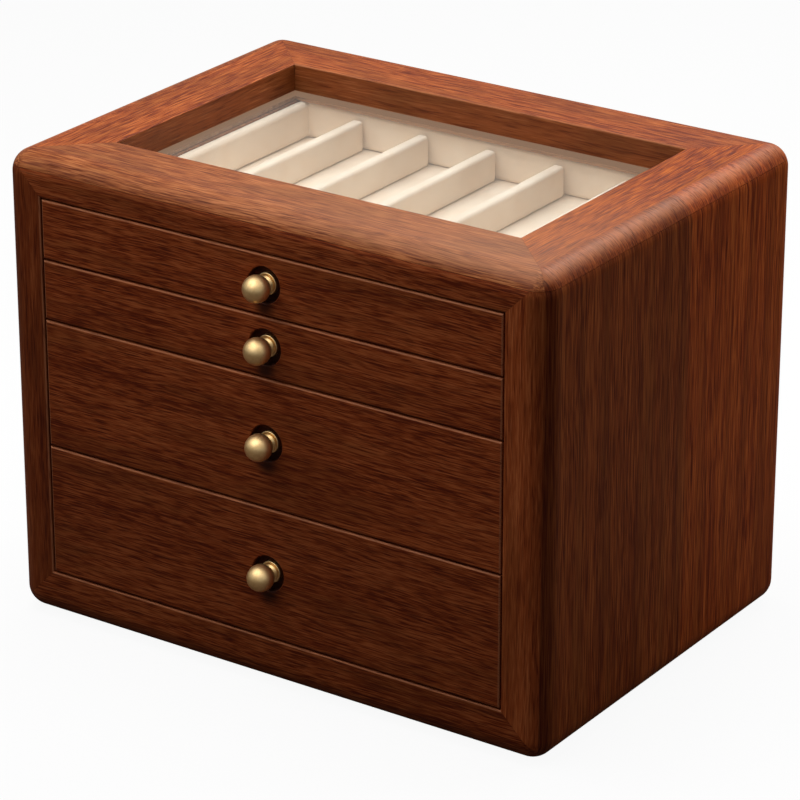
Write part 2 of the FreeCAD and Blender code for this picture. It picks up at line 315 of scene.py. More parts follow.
# The layers of wood whose grain runs along one axis. The seed shifts each of them another way.
def grainOf(place, grain, seed, look):
    bend = cloud(stretched(place, grain, *look["bend"], (seed, 2.3, 7.1)), 1.0) - 0.5
    bent = place.vector("ADD", triple(place, bend, bend, bend).scaled(look["sway"] * mm))

    def layer(name, shift, detail=2.0, rough=0.5, at=bent):
        return cloud(stretched(at, grain, *look[name], shift), detail, rough)

    band = layer("band", (seed, seed * 1.7, 3.0))
    streak = layer("streak", (seed * 2.1, 5.0, seed), rough=0.55)
    fibre = layer("fibre", (3.0, seed, seed * 1.3), rough=0.6)
    thread = layer("thread", (6.0, seed * 1.9, seed), 1.0)
    vessel = layer("vessel", (seed * 0.7, 1.0, 9.0), 1.0)
    patch = layer("patch", (7.0, seed * 0.9, seed), at=place)
    fine = (fibre - 0.5) * look["fibreShare"] + (thread - 0.5) * look["threadShare"]
    tone = (band - 0.5) + (streak - 0.5) * look["streakShare"] + fine * look["fineness"] + 0.5
    least, more = look["dashShare"]
    dash = vessel.step(*look["vesselTones"]) * (least + more * streak.step(*look["dashTones"]))
    return {"tone": tone, "dash": dash, "patch": patch, "fibre": fibre, "streak": streak}


def woodColour(grain, look):
    tone = grain["tone"]
    dark = tone.step(*look["bodyTones"]).mix(look["deep"], look["body"])
    light = tone.step(*look["warmTones"]).mix(dark, look["warm"])
    olive = (tone * 0.7 + 0.15).mix(look["deep"], look["olive"])
    mottled = (grain["patch"].step(*look["patchTones"]) * look["mottle"]).mix(light, olive)
    return (grain["dash"] * look["pores"]).mix(mottled, look["pore"])


def tinted(colour, tint):
    return colour.make("ShaderNodeMix", {"data_type": "RGBA", "blend_type": "MULTIPLY"},
                       {"Factor_Float": 1.0, "A_Color": colour, "B_Color": rgb(*tint)}, "Result_Color")


# A cut of veneer: its colour, how far its surface stands, and how dull it is
def cutOf(place, grain, seed, tint=(1.0, 1.0, 1.0), look=woodLook):
    parts = grainOf(place, grain, seed, look)
    colour = tinted(woodColour(parts, look), tint)
    dull = (parts["streak"] - 0.5) * look["dulling"] + parts["dash"] * look["dulling"]
    return {"colour": colour, "height": parts["fibre"] * look["fibreRelief"] - parts["dash"], "dull": dull}


def blended(share, first, second):
    return {"colour": share.mix(first["colour"], second["colour"]),
            "height": first["height"] + share * (second["height"] - first["height"]),
            "dull": first["dull"] + share * (second["dull"] - first["dull"])}


# The rules below say how one board is veneered: board() is a single cut
def board(grain, seed, tint=(1.0, 1.0, 1.0), look=woodLook):
    return lambda place, on: cutOf(place, grain, seed, tint, look)


# Painted shade on the sides' rounded front edges, round the box's front corners: millimetres behind the
# face
shadedCorner = {"start": 3.0, "end": 14.0, "tint": (0.74, 0.66, 0.70)}
rearSeed = 11.0              # how far the rear leaf's seed is from the front leaf's
jointWidth = 0.6


# Two leaves side by side up a side of the box. The grain follows the surface over the rounded edge.
def sideLeaves(seed, joint, frontTint, rearTint, look=sideLook):
    def rule(place, on):
        bent = triple(place, on["Y"], 0.0, on["Z"] - abs(on["X"]))
        front = cutOf(bent, "Z", seed, frontTint, look)
        # painted shade near the side's front edge
        clear = on["Y"].inMm().step(shadedCorner["start"] - faceY, shadedCorner["end"] - faceY)
        front["colour"] = clear.mix(tinted(front["colour"], shadedCorner["tint"]), front["colour"])
        rear = cutOf(bent, "Z", seed + rearSeed, rearTint, look)
        share = on["Y"].inMm().step(joint - jointWidth / 2, joint + jointWidth / 2)
        return blended(share, front, rear)
    return rule


# The side's leaves lap over the rounded edge as far as the flat of the top, with a ragged end
lapEdge = {
    "start": boxHalf - edgeRadius - 0.6,
    "end": boxHalf - edgeRadius + 0.6,
    "ragged": 3.0,
    "tooth": 1.2,
}


def lapped(topRule, sideRule, edge):
    def rule(place, on):
        ragged = cloud(stretched(place, "X", 1.0, edge["tooth"], (0.0, 3.0, 0.0)), 1.0) - 0.5
        share = (abs(on["X"]).inMm() + ragged * edge["ragged"]).step(edge["start"], edge["end"])
        return blended(share, topRule(place, on), sideRule(place, on))
    return rule


# A painted sheen lightens the top around its front right corner, and less and less down the round
cornerSheen = {
    "corner": (boxHalf, -faceY),
    "reach": 300.0,
    "strength": 0.32,
    "low": boxTop - 6.5,
    "high": boxTop - 1.0,
}


def paintedSheen(rule, corner, reach, strength, low, high):
    def sheenedRule(place, on):
        cut = rule(place, on)
        # painted sheen: paler near the corner and towards the top of the round
        near = 1 - distance(on["X"] - corner[0] * mm, on["Y"] - corner[1] * mm).step(0.0, reach * mm)
        share = near * on["Z"].inMm().step(low, high) * strength
        return dict(cut, colour=share.mix(cut["colour"], woodLook["paintedSheen"]))
    return sheenedRule


# The upright wall of the window shows the calmer wood of the liners, up to just past its edge
wallFade = (0.05, 0.30)


def revealed(topRule, wallRule, axis, edge):
    def rule(place, on):
        share = 1 - abs(on[axis]).inMm().step(edge + wallFade[0], edge + wallFade[1])
        return blended(share, topRule(place, on), wallRule(place, on))
    return rule


# The mitres' dark lines, and painted light: highlights on edges, shade in the knobs' recesses and
# each knob's shadow. Reaches are the millimetres where a mark starts and stops to fade.
marksAndPaintedLight = {
    "mitreReach": (0.05, 0.40),
    "mitre": 0.24,
    "highlightPores": 0.35,            # how much the grain's pores break up the painted highlight on an edge
    "recessReach": (0.02, 0.15),
    "recess": 0.85,
    "knobShadowBelow": 11.0,         # painted shadow of each knob, this far below it
    "knobShadowWide": 7.5,
    "knobShadowTall": 6.5,
    "knobShadow": 0.85,
}


def mitreLine(on, mitre):                    # 1 on the line where two boards meet
    first = abs(on[mitre["axes"][0]] - mitre["middle"][0] * mm)
    second = abs(on[mitre["axes"][1]] - mitre["middle"][1] * mm)
    off = abs(first - second - (mitre["half"][0] - mitre["half"][1]) * mm).inMm()
    return 1 - off.step(*marksAndPaintedLight["mitreReach"])


def sizeOn(on, axis):                        # the box is alike left and right, but not top and bottom
    return on[axis] if axis == "Z" else abs(on[axis])


def edgeHighlightMask(on, axes, line, reach):           # 1 along an edge
    away = [sizeOn(on, axis).inMm() - line["XYZ".index(axis)] for axis in axes]
    return 1 - distance(*away).step(*reach)


# where the painted shadow below a knob falls
def knobShadowBelow(on, knobZ):
    below = (on["Z"] - knobZ + marksAndPaintedLight["knobShadowBelow"] * mm) / (marksAndPaintedLight["knobShadowTall"] * mm)
    beside = on["X"] / (marksAndPaintedLight["knobShadowWide"] * mm)
    return 1 - distance(beside, below).step(0.1, 1.0)


# painted shade in a knob's recess
def recessShadeMask(on, knobZ):
    start, end = marksAndPaintedLight["recessReach"]
    return 1 - distance(on["X"], on["Z"] - knobZ).inMm().step(recessRadius + start, recessRadius + end)


# A board's finish. `mitre` marks a mitre's fine dark line, the edges listed after it get a painted
# highlight along them, and `knobZ` is the height of a knob, which gets painted shade in its recess
# and a painted shadow below it. An edge is two axes, its place in millimetres, the reach of its
# highlight and the highlight's strength.
def veneer(name, rule, look=woodLook, mitre=None, paintedHighlight=(), knobZ=None):
    material, shader, place = startMaterial(name)
    on = place.axes()
    cut = rule(place, on)
    colour = cut["colour"]
    if mitre:
        colour = (mitreLine(on, mitre) * marksAndPaintedLight["mitre"]).mix(colour, look["pore"])
    # painted highlight: a pale colour along each listed edge
    for axes, line, reach, strength in paintedHighlight:
        highlightShare = strength + cut["height"] * marksAndPaintedLight["highlightPores"]
        colour = (edgeHighlightMask(on, axes, line, reach) * highlightShare).mix(colour, look["paintedHighlight"])
    if knobZ:
        # painted shadow below the knob, and painted shade in its recess
        colour = (knobShadowBelow(on, knobZ) * marksAndPaintedLight["knobShadow"]).mix(colour, look["shadeAndAgeing"])
        colour = (recessShadeMask(on, knobZ) * marksAndPaintedLight["recess"]).mix(colour, look["shadeAndAgeing"])
    feed(shader, "Base Color", colour)
    feed(shader, "Roughness", look["rough"] + cut["dull"])
    feed(shader, "Normal", place.make("ShaderNodeBump", {}, {
        "Height": cut["height"], "Distance": look["poreDepth"] * mm, "Strength": look["relief"]}))
    shader.inputs["Specular IOR Level"].default_value = look["specular"]
    return material


# Every board has its own cut of veneer, a seed and a tint, and the grain runs the board's length
sharp = (0.45, 1.00)         # the reach of the painted highlight on a sharp edge
rightLeaves = {
    "seed": 7.0,
    "joint": 13.0,               # where the leaves meet, behind the middle of the side
    "frontTint": (0.93, 0.87, 0.70),
    "rearTint": (1.27, 1.06, 0.72),
}
leftLeaves = {
    "seed": 8.0,
    "joint": -20.0,
    "frontTint": (1.05, 1.0, 0.9),
    "rearTint": (0.9, 0.95, 0.9),
}
# The lid members' tints: the veneer's colour, and partly a painted sheen that makes the top paler than the
# front
lidLook = {
    "front": (1.0, (1.10, 1.38, 1.60)),
    "back": (2.0, (1.08, 1.10, 0.95)),
    "left": (3.0, (1.18, 1.20, 1.0)),
    "right": (4.0, (1.15, 1.01, 0.32)),
    "endWall": (10.0, (0.80, 1.06, 1.35)),
    "sideWall": (12.0, (0.80, 1.0, 1.2)),
    "rightSheenReach": 165.0,            # the reach of the painted sheen on the right member
    "lapSheen": 0.22,               # its strength on the lapped leaves
    # painted highlights along the front's and the sides' crests and the window's back edge
    "frontHighlight": 0.09,
    "frontReach": (0.5, 6.0),
    "sideHighlight": 0.30,
    "sideReach": (0.8, 5.0),
    "backHighlight": 0.36,
}


def veneerLid(look):
    endWall = board("X", *look["endWall"], linerLook)
    sideWall = board("Y", *look["sideWall"], linerLook)
    # the front and right members and the right lap get the painted sheen near the corner
    front = paintedSheen(board("X", *look["front"], topLook), **cornerSheen)
    back = board("X", *look["back"], topLook)
    left = board("Y", *look["left"], topLook)
    right = paintedSheen(board("Y", *look["right"], topLook), **{**cornerSheen, "reach": look["rightSheenReach"]})
    leftLap = sideLeaves(**leftLeaves, look=lapLook)
    rightLap = paintedSheen(sideLeaves(**rightLeaves, look=lapLook), **{**cornerSheen, "strength": look["lapSheen"]})
    rules = {
        "Front": revealed(front, endWall, "Y", windowY),
        "Back": revealed(back, endWall, "Y", windowY),
        "Left": lapped(revealed(left, sideWall, "X", windowX), leftLap, lapEdge),
        "Right": lapped(revealed(right, sideWall, "X", windowX), rightLap, lapEdge),
    }
    # The painted highlights run along these crests
    frontIn = edgeRadius * (1 - math.sqrt(0.5))          # the crest of the front's round
    sideIn = edgeRadius * 0.5                            # and of a side's, nearer to its top
    sideDown = edgeRadius * (1 - math.sqrt(0.75))
    frontCrest = (0.0, faceY - frontIn, boxTop - frontIn)
    sideCrest = (boxHalf - sideIn, 0.0, boxTop - sideDown)
    sideEdge = ("XZ", sideCrest, look["sideReach"], look["sideHighlight"])
    edges = {
        "Front": ("YZ", frontCrest, look["frontReach"], look["frontHighlight"]),
        "Back": ("YZ", (0.0, windowY, boxTop), sharp, look["backHighlight"]),
        "Left": sideEdge,
        "Right": sideEdge,
    }
    mitre = {"axes": "XY", "middle": (0.0, 0.0), "half": (windowX, windowY)}
    for side, rule in rules.items():
        material = veneer("top%sWood" % side, rule, mitre=mitre, paintedHighlight=[edges[side]])
        dress(material, "lid_%s_member" % side.lower())
    dress(veneer("endLinerWood", endWall), "lid_end_liners")
    dress(veneer("sideLinerWood", sideWall), "lid_side_liners")


caseLook = {
    "topRail": (5.0, (0.93, 0.85, 0.85)),
    "bottomRail": (5.0, (0.84, 0.78, 0.78)),
    "leftStile": (6.0, (0.68, 0.62, 0.58)),
    "rightStile": (7.0, (1.12, 1.10, 1.15)),
    "back": (9.0, (0.85, 0.85, 0.85)),
    # painted highlights along the edges of the opening
    "railHighlight": 0.5,
    "stileHighlight": 0.38,
}


def veneerCase(look):
    middle = (0.0, (openTop + openLow) / 2)
    mitre = {"axes": "XZ", "middle": middle, "half": (openX, (openTop - openLow) / 2)}
    railEdge = ("YZ", (0.0, faceY, openLow), sharp, look["railHighlight"])
    stileEdge = ("XY", (openX, faceY, 0.0), sharp, look["stileHighlight"])
    for name, node in (("topRail", "top_rail"), ("bottomRail", "bottom_rail")):
        dress(veneer(name + "Wood", board("X", *look[name]), mitre=mitre, paintedHighlight=[railEdge]), node)
    leftStile = board("Z", *look["leftStile"], stileLook)
    dress(veneer("leftStileWood", leftStile, mitre=mitre, paintedHighlight=[stileEdge]), "left_stile")
    rightStile = board("Z", *look["rightStile"], stileLook)
    dress(veneer("rightStileWood", rightStile, mitre=mitre), "right_stile")
    dress(veneer("rightSideWood", sideLeaves(**rightLeaves)), "right_side_panel")
    dress(veneer("leftSideWood", sideLeaves(**leftLeaves)), "left_side_panel")
    dress(veneer("backWood", board("Z", *look["back"], backLook)), "back_panel")


drawerLook = {
    "seed": 13.0,
    "seedStep": 3,
    "tint": (0.99, 0.90, 0.88),
    "lowestShade": 0.88,               # of that tint on the lowest front, as painted shade
    # painted highlights along each front's side and top edges
    "sideHighlight": 0.50,
    "topHighlight": 0.62,
}


def veneerDrawer(number, look):
    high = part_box("drawer_%d_front" % number)[1]
    corner = (high.x / mm, faceY, high.z / mm)
    edges = [("XY", corner, sharp, look["sideHighlight"]), ("YZ", corner, sharp, look["topHighlight"])]
    # painted shade: the lowest front is darker
    shade = look["lowestShade"] if number == drawers[-1] else 1.0
    rule = board("X", look["seed"] + number * look["seedStep"], [share * shade for share in look["tint"]])
    material = veneer("drawerWood%d" % number, rule, paintedHighlight=edges, knobZ=middleZ("drawer_%d_knob" % number))
    dress(material, "drawer_%d_front" % number)


veneerLid(lidLook)
veneerCase(caseLook)
for number in drawers:
    veneerDrawer(number, drawerLook)
print("stage: the case and the lid are veneered")

# Plain stained wood inside
innerSeeds = {"across": 31.0, "deep": 34.0}
innerAcross = veneer("innerWoodAcross", board("X", innerSeeds["across"], look=innerLook), innerLook)
innerDeep = veneer("innerWoodDeep", board("Y", innerSeeds["deep"], look=innerLook), innerLook)
dress(innerDeep, "left_guide_panel", "right_guide_panel", "bottom_panel")
dress(innerAcross, "deck_cleats", "tray_deck")
for number in drawers:
    dress(innerAcross, "drawer_shelf_%d" % number)
    dress(innerDeep, "drawer_%d_walls" % number, "drawer_%d_base" % number)
print("stage: the inner wood is stained")


# Turned brass, satin, a little darker in patches where it has aged. Sizes are in millimetres.
brassLook = {
    "bright": rgb(0.96, 0.68, 0.33),
    "aged": rgb(0.74, 0.47, 0.20),
    "agedTones": (0.42, 0.70),
    "ageing": 0.45,
    "rough": 0.43,
    "dulling": 0.16,
    "patch": 2.6,
    "fine": 0.35,
    "depth": 0.006,
    "relief": 0.5,
}
steelLook = dict(brassLook, bright=rgb(0.62, 0.61, 0.58), aged=rgb(0.42, 0.41, 0.39), rough=0.36)


def metalMaterial(name, look):
    material, shader, place = startMaterial(name)
    shadeAndAgeing = cloud(stretched(place, "X", look["patch"], look["patch"], (1.0, 2.0, 3.0)), 3.0, 0.6)
    fine = cloud(stretched(place, "X", look["fine"], look["fine"], (4.0, 5.0, 6.0)), 2.0, 0.5)
    aged = shadeAndAgeing.step(*look["agedTones"]) * look["ageing"]
    feed(shader, "Base Color", aged.mix(look["bright"], look["aged"]))
    feed(shader, "Roughness", look["rough"] + (shadeAndAgeing - 0.5) * look["dulling"])
    feed(shader, "Normal", place.make("ShaderNodeBump", {}, {
        "Height": fine, "Distance": look["depth"] * mm, "Strength": look["relief"]}))
    shader.inputs["Metallic"].default_value = 1.0
    return material


brass = metalMaterial("satinBrass", brassLook)
steel = metalMaterial("zincSteel", steelLook)
dress(brass, "hinge_lower_leaves", "hinge_upper_leaves", "hinge_pins")
for number in drawers:
    dress(steel, "drawer_%d_knob_screw" % number)


# Millimetre points of an arc about (radius, y), from one angle to another, in degrees
def arc(radius, y, size, first, last, steps):
    angles = [math.radians(first + (last - first) * step / steps) for step in range(steps + 1)]
    return [(radius + size * math.cos(angle), y + size * math.sin(angle)) for angle in angles]


# A profile of (radius, y) points turned about a line along Y through (0, z)
def turned(name, profile, z, segments, material):
    form = bmesh.new()
    rings = []
    for radius, y in profile:
        count = segments if radius > 1e-6 else 1
        size = radius * mm
        turns = [2 * math.pi * index / segments for index in range(count)]
        points = [(size * math.cos(turn), y * mm, z + size * math.sin(turn)) for turn in turns]
        rings.append([form.verts.new(point) for point in points])
    for near, far in zip(rings, rings[1:]):
        for index in range(segments):
            after = (index + 1) % segments
            corners = [near[index % len(near)], near[after % len(near)]]
            corners += [far[after % len(far)], far[index % len(far)]]
            form.faces.new(list(dict.fromkeys(corners)))
    return addMesh(name, form, material)


# The knobs: a ball on a waisted neck that flares into a dished collar with a rounded rim
knobLook = {
    "neck": 3.1,             # radius where the ball ends
    "waist": 2.5,
    "foot": 3.2,             # radius where the neck meets the collar
    "flare": 0.25,
    "flareDepth": 0.8,       # of the dish's depth
    "collar": 5.3,
    "collarFront": 2.0,      # behind the drawer's face
    "rim": 0.45,
    "dish": 0.35,
    "segments": 72,
    "ballSteps": 40,
    "neckSteps": 12,
    "rimSteps": 8,
}


def makeKnob(number, look):
    node = "drawer_%d_knob" % number
    low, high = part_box(node)
    ball = high.x / mm
    ballY = low.y / mm + ball
    seatY = high.y / mm
    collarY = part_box("drawer_%d_front" % number)[0].y / mm + look["collarFront"]
    jointY = ballY + math.sqrt(ball**2 - look["neck"]**2)
    jointAngle = math.degrees(math.acos(look["neck"] / ball))
    profile = arc(0.0, ballY, ball, -90.0, jointAngle, look["ballSteps"])
    profile[0] = (0.0, ballY - ball)
    for step in range(1, look["neckSteps"] + 1):
        share = step / look["neckSteps"]
        hollow = math.sin(math.pi * share)
        radius = look["neck"] + (look["foot"] - look["neck"]) * share
        profile.append((radius - (radius - look["waist"]) * hollow, jointY + (collarY - jointY) * share))
    rimCentre = look["collar"] - look["rim"]
    profile.append((look["foot"] + look["flare"], collarY + look["dish"] * look["flareDepth"]))
    profile.append(((look["foot"] + rimCentre) / 2, collarY + look["dish"]))
    profile += arc(rimCentre, collarY + look["rim"], look["rim"], -120.0, 0.0, look["rimSteps"])
    profile.append((look["collar"], seatY))
    profile.append((0.0, seatY))
    knob = turned("turnedKnob%d" % number, profile, middleZ(node), look["segments"], brass)
    adopt(knob, "drawer_%d" % number, node)


for number in drawers:
    makeKnob(number, knobLook)
print("stage: the knobs are turned")


# Geometry Nodes steps that the pieces below share
def joined(*shapes):
    node = shapes[0].tree.nodes.new("GeometryNodeJoinGeometry")
    for shape in reversed(shapes):
        shape.tree.links.new(shape.socket, node.inputs[0])
    return Wire(node.id_data, node.outputs[0])


def moved(shape, offset):
    return shape.make("GeometryNodeTransform", {}, {"Geometry": shape, "Translation": offset})


def pointLine(wire, count, start, step):
    return wire.make("GeometryNodeMeshLine", {"mode": "OFFSET"},
                     {"Count": count, "Start Location": start, "Offset": step})


def randomNumber(wire, low, high, seed):     # one for each point
    return wire.make("FunctionNodeRandomValue", {"data_type": "FLOAT"}, {
        "Min_001": low, "Max_001": high, "Seed": seed}, "Value_001")


def smoothed(shape):
    return shape.make("GeometryNodeSetShadeSmooth", {}, {"Geometry": shape})


# Slotted countersunk screws in the hinge leaves, each turned its own way
screwLook = {
    "Head": 1.5 * mm,
    "Head sides": 40,
    "Shank": 0.8 * mm,
    "Shank sides": 24,
    "Length": 4.2 * mm,
    "Slot": 0.42 * mm,
    "Slot depth": 0.4 * mm,
    "Spacing": 18.0 * mm,
    "Seed": 5,
}
screwInset = 5.5 * mm        # from the back of the case


def screwRule(sizes):
    head = sizes["Head"]
    taper = head - sizes["Shank"]
    plain = sizes["Length"] - taper
    cone = head.make("GeometryNodeMeshCone", {}, {
        "Vertices": sizes["Head sides"], "Radius Top": head, "Radius Bottom": sizes["Shank"],
        "Depth": taper}, "Mesh")
    slotSize = triple(head, head * 3.0, sizes["Slot"], sizes["Slot depth"] * 2.0)
    cutter = head.make("GeometryNodeMeshCube", {}, {"Size": slotSize}, "Mesh")
    cutter = moved(cutter, triple(head, z=taper))
    cone = head.make("GeometryNodeMeshBoolean", {"operation": "DIFFERENCE"}, {0: cone, 1: cutter}, "Mesh")
    shank = head.make("GeometryNodeMeshCylinder", {}, {
        "Vertices": sizes["Shank sides"], "Radius": sizes["Shank"], "Depth": plain}, "Mesh")
    screw = moved(joined(cone, moved(shank, triple(head, z=plain * -0.5))), triple(head, z=taper * -1.0))
    hinges = pointLine(head, 2, sizes["First"], sizes["Hinge step"])
    holes = pointLine(head, 2, (0.0, 0.0, 0.0), triple(head, sizes["Spacing"]))
    places = head.make("GeometryNodeInstanceOnPoints", {}, {"Points": hinges, "Instance": holes})
    places = head.make("GeometryNodeRealizeInstances", {}, {0: places})
    turn = randomNumber(head, 0.0, math.pi, sizes["Seed"])
    return head.make("GeometryNodeInstanceOnPoints", {}, {
        "Points": places, "Instance": screw, "Rotation": triple(head, sizes["Flip"], 0.0, turn)})


# The lower leaves' screws point down from the leaves' top, and the upper leaves' point up
def makeScrews(name, body, flip, look):
    node = "hinge_%s_screws" % name
    low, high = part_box(node)
    firstX = low.x + look["Head"]
    hingeStep = high.x - look["Head"] - look["Spacing"] - firstX
    level = low.z if flip else high.z
    places = {"First": (firstX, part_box("back_panel")[1].y - screwInset, level),
              "Hinge step": (hingeStep, 0.0, 0.0), "Flip": flip}
    screws = growPiece("slottedScrews" + name.title(), {**look, **places}, screwRule, brass)
    adopt(screws, body, node)


makeScrews("lower", "case", 0.0, screwLook)
makeScrews("upper", "lid", math.pi, screwLook)
print("stage: the hinge screws are in")


# Cream velvet: a short nap with softly brushed patches
velvetLook = {
    "pile": rgb(0.91, 0.785, 0.645),
    "brushed": rgb(0.88, 0.725, 0.57),
    "nap": 0.45,
    "napShare": 0.05,
    "napDepth": 0.08,
    "relief": 0.05,
    "brushing": 14.0,
    "brushedTones": (0.35, 0.70),
    "brushedShare": 0.7,
    "evenShare": 0.15,       # of the brushed colour everywhere
    "rough": 0.9,
    "specular": 0.1,
    "sheen": 0.15,
    "sheenRough": 0.45,
}
feltLook = dict(velvetLook, pile=rgb(0.035, 0.018, 0.010), brushed=rgb(0.060, 0.032, 0.018), sheen=0.1,
                nap=0.7, napDepth=0.15)


def napMaterial(name, look):
    material, shader, place = startMaterial(name)
    patch = cloud(stretched(place, "X", look["brushing"], look["brushing"], (0.0, 4.0, 8.0)))
    nap = cloud(stretched(place, "X", look["nap"], look["nap"], (2.0, 1.0, 0.0)), 2.0, 0.6)
    share = patch.step(*look["brushedTones"]) * look["brushedShare"]
    share = share + (nap - 0.5) * look["napShare"] + look["evenShare"]
    feed(shader, "Base Color", share.mix(look["pile"], look["brushed"]))
    feed(shader, "Normal", place.make("ShaderNodeBump", {}, {
        "Height": nap, "Distance": look["napDepth"] * mm, "Strength": look["relief"]}))
    shader.inputs["Roughness"].default_value = look["rough"]
    shader.inputs["Specular IOR Level"].default_value = look["specular"]
    shader.inputs["Sheen Weight"].default_value = look["sheen"]
    shader.inputs["Sheen Roughness"].default_value = look["sheenRough"]
    return material


velvet = napMaterial("creamVelvet", velvetLook)
felt = napMaterial("brownFelt", feltLook)

edgeCrowding = (1.7, 2.4, 1.9)       # powers that draw a wrapped board's points to its edges


# A velvet-wrapped board: a block whose edges are all rounded, with its points drawn towards them
def wrappedBoard(size, edge, counts):
    half = size.scaled(0.5)
    block = size.make("GeometryNodeMeshCube", {}, {
        "Size": (2.0, 2.0, 2.0), "Vertices X": counts[0], "Vertices Y": counts[1],
        "Vertices Z": counts[2]}, "Mesh")
    place = size.make("GeometryNodeInputPosition")
    share = place.vector("ABSOLUTE")
    left = size.make("ShaderNodeVectorMath", {"operation": "SUBTRACT"}, {0: (1.0, 1.0, 1.0), 1: share})
    crowded = size.make("ShaderNodeVectorMath", {"operation": "SUBTRACT"}, {
        0: (1.0, 1.0, 1.0), 1: left.vector("POWER", edgeCrowding)})
    point = crowded.vector("MULTIPLY", place.vector("SIGN")).vector("MULTIPLY", half)
    inner = half.vector("SUBTRACT", triple(size, edge, edge, edge))
    core = point.vector("MINIMUM", inner).vector("MAXIMUM", inner.scaled(-1.0))
    rounded = core.vector("ADD", point.vector("SUBTRACT", core).vector("NORMALIZE").scaled(edge))
    return size.make("GeometryNodeSetPosition", {}, {"Geometry": block, "Position": rounded})


# Soft unevenness of the wrapped velvet, along each point's normal
def ruffled(shape, depth, span, seed):
    place = shape.make("GeometryNodeInputPosition")
    lumps = shape.make("ShaderNodeTexNoise", {"noise_dimensions": "4D"}, {
        "Vector": place, "W": seed, "Scale": 1.0 / (span * mm), "Detail": 2.0}) - 0.5
    normal = shape.make("GeometryNodeInputNormal")
    offset = normal.scaled(lumps * depth)
    return shape.make("GeometryNodeSetPosition", {}, {"Geometry": shape, "Offset": offset})


def adoptPad(piece, body, node):
    adopt(piece, body, node)


# The tray's loose dividers
dividerLook = {
    "Count": 5,
    "First x": -73.9 * mm,
    "Pitch": 38.9 * mm,
    "Size": (6.0 * mm, 143.0 * mm, 15.7 * mm),
    "Edge": 1.75 * mm,
    "Ruffle": 0.16 * mm,
    "Slack": 0.12 * mm,      # how far a divider stands from its even place
    "Seed": 3,
}
dividerPoints = (15, 90, 25)
dividerLumps = 9.0


def dividerRule(sizes):
    count = sizes["Count"]
    divider = wrappedBoard(sizes["Size"], sizes["Edge"], dividerPoints)
    first = triple(count, sizes["First x"], 0.0, sizes["Middle z"])
    line = pointLine(count, count, first, triple(count, sizes["Pitch"]))
    nudge = triple(count, randomNumber(count, -1.0, 1.0, sizes["Seed"]) * sizes["Slack"])
    line = count.make("GeometryNodeSetPosition", {}, {"Geometry": line, "Offset": nudge})
    row = count.make("GeometryNodeInstanceOnPoints", {}, {"Points": line, "Instance": divider})
    row = count.make("GeometryNodeRealizeInstances", {}, {0: row})
    return ruffled(smoothed(row), sizes["Ruffle"], dividerLumps, sizes["Seed"])


dividerSizes = {**dividerLook, "Middle z": middleZ("tray_dividers")}
adoptPad(growPiece("velvetDividers", dividerSizes, dividerRule, velvet), "case", "tray_dividers")


# The tray's walls are one padded strip bent round the four corners
wallLook = {
    "Wall": 6.0 * mm,
    "Edge": 2.4 * mm,
    "Corner": 3.6 * mm,      # at the middle of the strip
    "Path arc": 8,           # steps round a corner
    "Path step": 1.6 * mm,
    "Section arc": 6,
    "Section step": 0.7 * mm,
    "Ruffle": 0.18 * mm,
    "Seed": 8,
}
wallLumps = 11.0


def filleted(curve, count, radius, step):
    curve = curve.make("GeometryNodeFilletCurve", {"mode": "POLY"}, {
        "Curve": curve, "Count": count, "Radius": radius})
    return curve.make("GeometryNodeResampleCurve", {"mode": "LENGTH"}, {"Curve": curve, "Length": step})


def wallRule(sizes):
    wall = sizes["Wall"]
    path = wall.make("GeometryNodeCurvePrimitiveQuadrilateral", {"mode": "RECTANGLE"}, {
        "Width": sizes["Width"] - wall, "Height": sizes["Depth"] - wall})
    path = filleted(path, sizes["Path arc"], sizes["Corner"], sizes["Path step"])
    path = path.make("GeometryNodeSetCurveNormal", {"mode": "Z_UP"}, {"Curve": path})
    section = wall.make("GeometryNodeCurvePrimitiveQuadrilateral", {"mode": "RECTANGLE"}, {
        "Width": wall, "Height": sizes["Tall"]})
    section = filleted(section, sizes["Section arc"], sizes["Edge"], sizes["Section step"])
    strip = smoothed(path.make("GeometryNodeCurveToMesh", {}, {"Curve": path, "Profile Curve": section}))
    strip = moved(strip, triple(wall, 0.0, 0.0, sizes["Middle z"]))
    return ruffled(strip, sizes["Ruffle"], wallLumps, sizes["Seed"])


low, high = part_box("tray_walls")
wallSizes = {**wallLook, "Width": high.x - low.x, "Depth": high.y - low.y, "Tall": high.z - low.z,
             "Middle z": middleZ("tray_walls")}
adoptPad(growPiece("velvetTrayWalls", wallSizes, wallRule, velvet), "case", "tray_walls")


# The tray's floor is a flat pad
floorLook = {
    "Edge": 0.5 * mm,
    "Ruffle": 0.12 * mm,
    "Seed": 4,
}
floorPoints = (120, 90, 7)
floorLumps = 16.0


def floorRule(sizes):
    pad = wrappedBoard(sizes["Size"], sizes["Edge"], floorPoints)
    pad = smoothed(moved(pad, triple(pad, 0.0, 0.0, sizes["Middle z"])))
    return ruffled(pad, sizes["Ruffle"], floorLumps, sizes["Seed"])


low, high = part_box("tray_base")
floorSizes = {**floorLook, "Size": tuple(high - low), "Middle z": middleZ("tray_base")}
adoptPad(growPiece("velvetTrayFloor", floorSizes, floorRule, velvet), "case", "tray_base")


# A ring of points on a rectangle with rounded corners, about (0, y), in millimetres
def roundedRing(form, halfX, halfY, radius, y, z, steps=6):
    ring = []
    for quarter, (sideX, sideY) in enumerate(((1, 1), (-1, 1), (-1, -1), (1, -1))):
        for step in range(steps + 1):
            turn = math.pi / 2 * (quarter + step / steps)
            x = sideX * (halfX - radius) + radius * math.cos(turn)
            along = y + sideY * (halfY - radius) + radius * math.sin(turn)
            ring.append(form.verts.new((x * mm, along * mm, z * mm)))
    return ring


